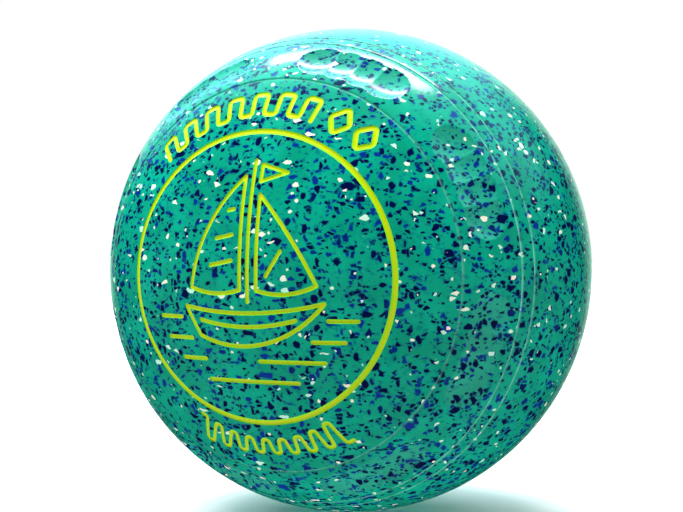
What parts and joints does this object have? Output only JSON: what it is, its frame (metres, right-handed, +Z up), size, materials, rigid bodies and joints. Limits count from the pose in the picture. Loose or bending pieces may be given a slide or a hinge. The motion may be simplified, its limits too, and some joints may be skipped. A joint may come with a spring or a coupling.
{
  "type": "lawn bowl",
  "caption": "Speckled one-piece lawn bowl with a biased turned profile, finger grips round both shoulders, turned grooves and paint-filled engraving on both sides.",
  "frame": {"origin": "centre of the running circle, which is the centre of the bounding box", "axes": "+Y along the bowl's axis of symmetry towards the bias side with the small ring, +Z up, with the bowl standing on its running line and the artwork upright"},
  "size_m": [0.124, 0.1114, 0.124],
  "materials": {
    "speckled_resin": "polished teal-green resin with fine navy, blue and white chips all through",
    "yellow_paint": "glossy yellow-green enamel, set slightly hollow in its channel"
  },
  "bodies": {
    "root": {"bias_diamonds_paint": "yellow_paint", "bias_hull_paint": "yellow_paint", "bias_jib_paint": "yellow_paint", "bias_key_border_paint": "yellow_paint", "bias_mainsail_paint": "yellow_paint", "bias_mast_paint": "yellow_paint", "bias_pennant_paint": "yellow_paint", "bias_ring_paint": "yellow_paint", "bias_water_lines_paint": "yellow_paint", "bias_wave_border_paint": "yellow_paint", "bowl_body": "speckled_resin", "outer_diamonds_paint": "yellow_paint", "outer_hull_paint": "yellow_paint", "outer_jib_paint": "yellow_paint", "outer_key_border_paint": "yellow_paint", "outer_mainsail_paint": "yellow_paint", "outer_mast_paint": "yellow_paint", "outer_pennant_paint": "yellow_paint", "outer_ring_paint": "yellow_paint", "outer_water_lines_paint": "yellow_paint", "outer_wave_border_paint": "yellow_paint"}
  },
  "joints": []
}
